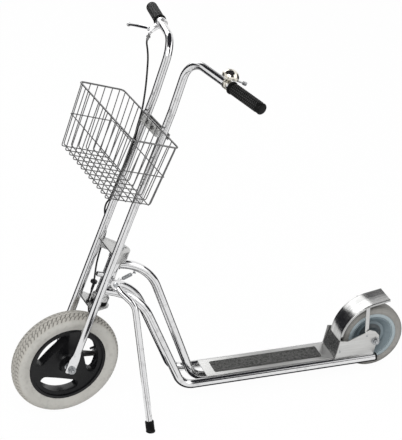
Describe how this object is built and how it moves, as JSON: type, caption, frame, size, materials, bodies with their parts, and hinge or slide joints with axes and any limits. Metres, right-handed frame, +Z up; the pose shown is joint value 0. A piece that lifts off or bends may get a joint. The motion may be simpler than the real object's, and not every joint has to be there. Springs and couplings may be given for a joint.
{
  "type": "industrial kick scooter",
  "caption": "Kick scooter with a large front wheel and a small rear wheel, twin-tube steering with a wire basket, a drum brake, a bell, a low sheet deck with a grit mat and a side stand.",
  "frame": {"origin": "middle of the bounding box at floor level, with the scooter standing on both wheels and its side stand", "axes": "+X forward along the scooter, +Y to the rider's left, where the stand is, +Z up"},
  "size_m": [1.1854, 0.6666, 1.0804],
  "materials": {
    "bright_zinc": "bright zinc plating",
    "zinc_sheet": "satin zinc plating",
    "steel": "plain machined steel",
    "pale_grey_tyre": "matt non-marking rubber",
    "grey_tyre": "matt non-marking rubber",
    "black_plastic": "glossy moulded",
    "blue_grey_plastic": "satin moulded",
    "black_rubber": "matt",
    "black_grit": "rough anti-slip grit"
  },
  "bodies": {
    "frame": {"cross_member": "zinc_sheet", "deck_mat": "black_grit", "deck_plate": "zinc_sheet", "head_tube": "bright_zinc", "lower_head_bearing": "bright_zinc", "rail_cap_left": "black_plastic", "rail_cap_right": "black_plastic", "rear_axle": "steel", "rear_bracket": "zinc_sheet", "rear_mudguard": "zinc_sheet", "rear_nut_left": "steel", "rear_nut_right": "steel", "side_tube_left": "bright_zinc", "side_tube_right": "bright_zinc", "stand_bolt": "steel", "stand_spring": "steel", "steering_seal": "black_rubber", "top_tube": "bright_zinc", "upper_head_bearing": "steel"},
    "steering": {"basket_bracket": "zinc_sheet", "basket_clamp": "zinc_sheet", "basket_floor_wires": "bright_zinc", "basket_front_wires": "bright_zinc", "basket_left_wires": "bright_zinc", "basket_rear_wires": "bright_zinc", "basket_right_wires": "bright_zinc", "basket_rim": "bright_zinc", "bell_base": "steel", "bell_dome": "bright_zinc", "brake_cable": "black_rubber", "brake_plate": "zinc_sheet", "cable_clip": "black_plastic", "front_axle": "steel", "front_nut_left": "steel", "front_nut_right": "steel", "grip_left": "black_rubber", "grip_right": "black_rubber", "lever_bracket": "steel", "lower_yoke": "bright_zinc", "steering_stem": "steel", "steering_tube_left": "bright_zinc", "steering_tube_right": "bright_zinc", "stem_nut": "steel", "upper_yoke": "bright_zinc"},
    "front_wheel": {"brake_drum": "steel", "front_bearing_left": "steel", "front_bearing_right": "steel", "front_rim": "black_plastic", "front_tyre": "pale_grey_tyre"},
    "rear_wheel": {"rear_bearing_left": "steel", "rear_bearing_right": "steel", "rear_rim": "blue_grey_plastic", "rear_tyre": "grey_tyre"},
    "brake_lever": {"brake_lever": "zinc_sheet"},
    "brake_arm": {"brake_arm": "steel"},
    "brake_shoe_upper": {"brake_shoe_upper": "steel"},
    "brake_shoe_lower": {"brake_shoe_lower": "steel"},
    "bell_lever": {"bell_lever": "steel"},
    "kickstand": {"stand_foot": "black_rubber", "stand_leg": "bright_zinc"}
  },
  "joints": [
    {"name": "steer", "type": "hinge", "parent": "frame", "child": "steering", "pos_m": [0.40908, -0.04505, 0.14569], "axis": [-0.3247, 0.0495, 0.9445], "range_deg": [-51.7, 38.3]},
    {"name": "front_wheel_spin", "type": "hinge", "parent": "steering", "child": "front_wheel", "pos_m": [0.43857, -0.04086, 0.15561], "axis": [-0.1103, 0.9898, -0.0898], "continuous": true},
    {"name": "rear_wheel_spin", "type": "hinge", "parent": "frame", "child": "rear_wheel", "pos_m": [-0.49273, -0.04745, 0.09995], "axis": [0, 0.9986, -0.0523], "continuous": true},
    {"name": "brake_lever_pull", "type": "hinge", "parent": "steering", "child": "brake_lever", "pos_m": [0.16465, -0.18991, 1.0451], "axis": [-0.4627, 0.0531, -0.8849], "range_deg": [0, 24], "stiffness_Nm_per_rad": 1.5, "springref_deg": -8.59},
    {"name": "brake_arm_turn", "type": "hinge", "parent": "steering", "child": "brake_arm", "pos_m": [0.4118, -0.04466, 0.1466], "axis": [-0.1103, 0.9898, -0.0898], "range_deg": [0, 8.64]},
    {"name": "brake_shoe_upper_pivot", "type": "hinge", "parent": "steering", "child": "brake_shoe_upper", "pos_m": [0.46534, -0.03706, 0.16461], "axis": [-0.1103, 0.9898, -0.0898], "range_deg": [0, 1.2]},
    {"name": "brake_shoe_lower_pivot", "type": "hinge", "parent": "steering", "child": "brake_shoe_lower", "pos_m": [0.46534, -0.03706, 0.16461], "axis": [0.1103, -0.9898, 0.0898], "range_deg": [0, 1.2]},
    {"name": "bell_lever_push", "type": "hinge", "parent": "steering", "child": "bell_lever", "pos_m": [0.07405, 0.2082, 1.02078], "axis": [-0.3271, 0.056, 0.9433], "range_deg": [0, 25], "stiffness_Nm_per_rad": 0.08, "springref_deg": -11.46},
    {"name": "stand_fold", "type": "hinge", "parent": "frame", "child": "kickstand", "pos_m": [0.30777, -0.001, 0.39392], "axis": [0.2657, 0.9162, 0.2999], "range_deg": [0, 80], "deforming": ["stand_spring"]}
  ],
  "couplings": [
    {"joint": "brake_arm_turn", "follows": "brake_lever_pull", "ratio": 0.36},
    {"joint": "brake_shoe_upper_pivot", "follows": "brake_lever_pull", "ratio": 0.05},
    {"joint": "brake_shoe_lower_pivot", "follows": "brake_lever_pull", "ratio": 0.05}
  ]
}
